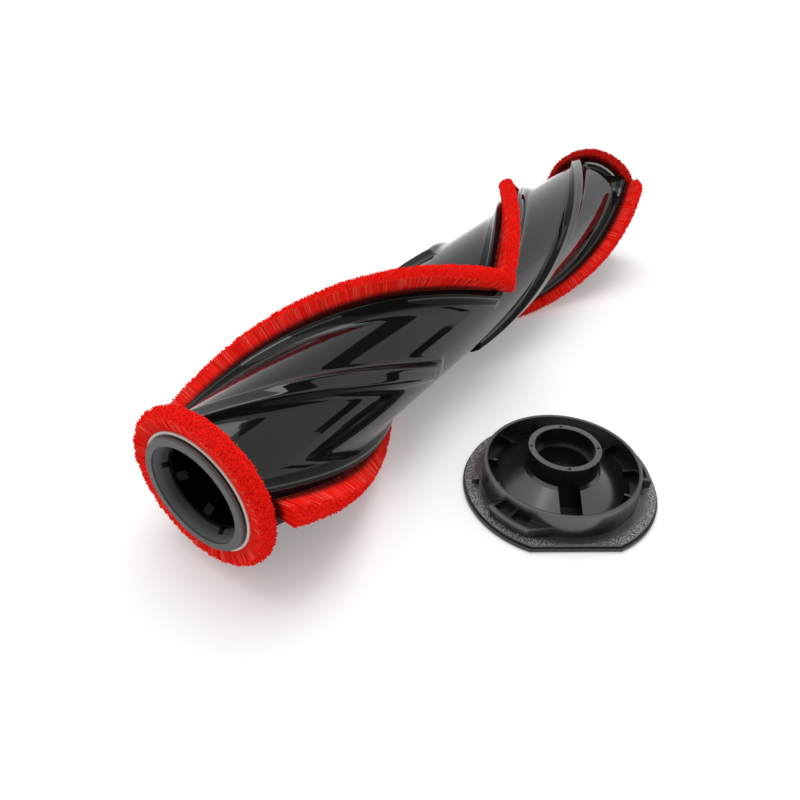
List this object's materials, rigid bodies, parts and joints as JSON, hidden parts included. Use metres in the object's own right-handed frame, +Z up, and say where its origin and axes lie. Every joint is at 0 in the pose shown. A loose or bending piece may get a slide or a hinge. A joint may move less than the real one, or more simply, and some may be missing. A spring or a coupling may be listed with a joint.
{
  "type": "vacuum roller brush",
  "caption": "Roller brush for a stick vacuum: ribbed black tube with red helical bristle strips and end rings, a bearing at one end, and its end cap lying beside it.",
  "frame": {"origin": "on the roller's axis, in the front face of the drive collar", "axes": "+X along the roller from the drive end to the bearing end, +Z up as it lies, and the end cap lies on the -Y side"},
  "size_m": [0.2482, 0.111, 0.0503],
  "materials": {
    "black_gloss_plastic": "polished moulding",
    "collar_black_plastic": "satin moulding",
    "socket_black_plastic": "satin moulding",
    "plug_black_plastic": "satin moulding",
    "cream_backing": "woven tape",
    "red_pile": "dense soft pile",
    "ground_steel": "ground",
    "bearing_steel": "polished",
    "pressed_steel": "pressed sheet",
    "spring_steel": "blackened spring steel",
    "cap_black_plastic": "satin moulding",
    "cover_black_plastic": "satin moulding"
  },
  "bodies": {
    "roller": {"roller_tube": "black_gloss_plastic", "drive_collar": "collar_black_plastic", "drive_socket": "socket_black_plastic", "far_end_plug": "plug_black_plastic", "near_top_strip_backing": "cream_backing", "near_bottom_strip_backing": "cream_backing", "far_top_strip_backing": "cream_backing", "far_bottom_strip_backing": "cream_backing", "near_ring_backing": "cream_backing", "far_ring_backing": "cream_backing", "near_top_strip_pile": "red_pile", "near_bottom_strip_pile": "red_pile", "far_top_strip_pile": "red_pile", "far_bottom_strip_pile": "red_pile", "near_ring_pile": "red_pile", "far_ring_pile": "red_pile", "stub_axle": "ground_steel", "bearing_inner_ring": "bearing_steel", "bearing_retaining_ring": "spring_steel", "end_cap_body": "cap_black_plastic", "end_cap_cover": "cover_black_plastic"},
    "bearing_outer": {"bearing_outer_ring": "bearing_steel", "bearing_shields": "pressed_steel"},
    "ball_set": {"bearing_balls": "bearing_steel", "bearing_cage": "pressed_steel"}
  },
  "joints": [
    {"name": "outer_ring_spin", "type": "hinge", "parent": "roller", "child": "bearing_outer", "pos_m": [0.2423, 0, 0], "axis": [1, 0, 0], "continuous": true},
    {"name": "ball_set_spin", "type": "hinge", "parent": "roller", "child": "ball_set", "pos_m": [0.2423, 0, 0], "axis": [1, 0, 0], "continuous": true}
  ],
  "couplings": [
    {"joint": "ball_set_spin", "follows": "outer_ring_spin", "ratio": 0.579}
  ]
}
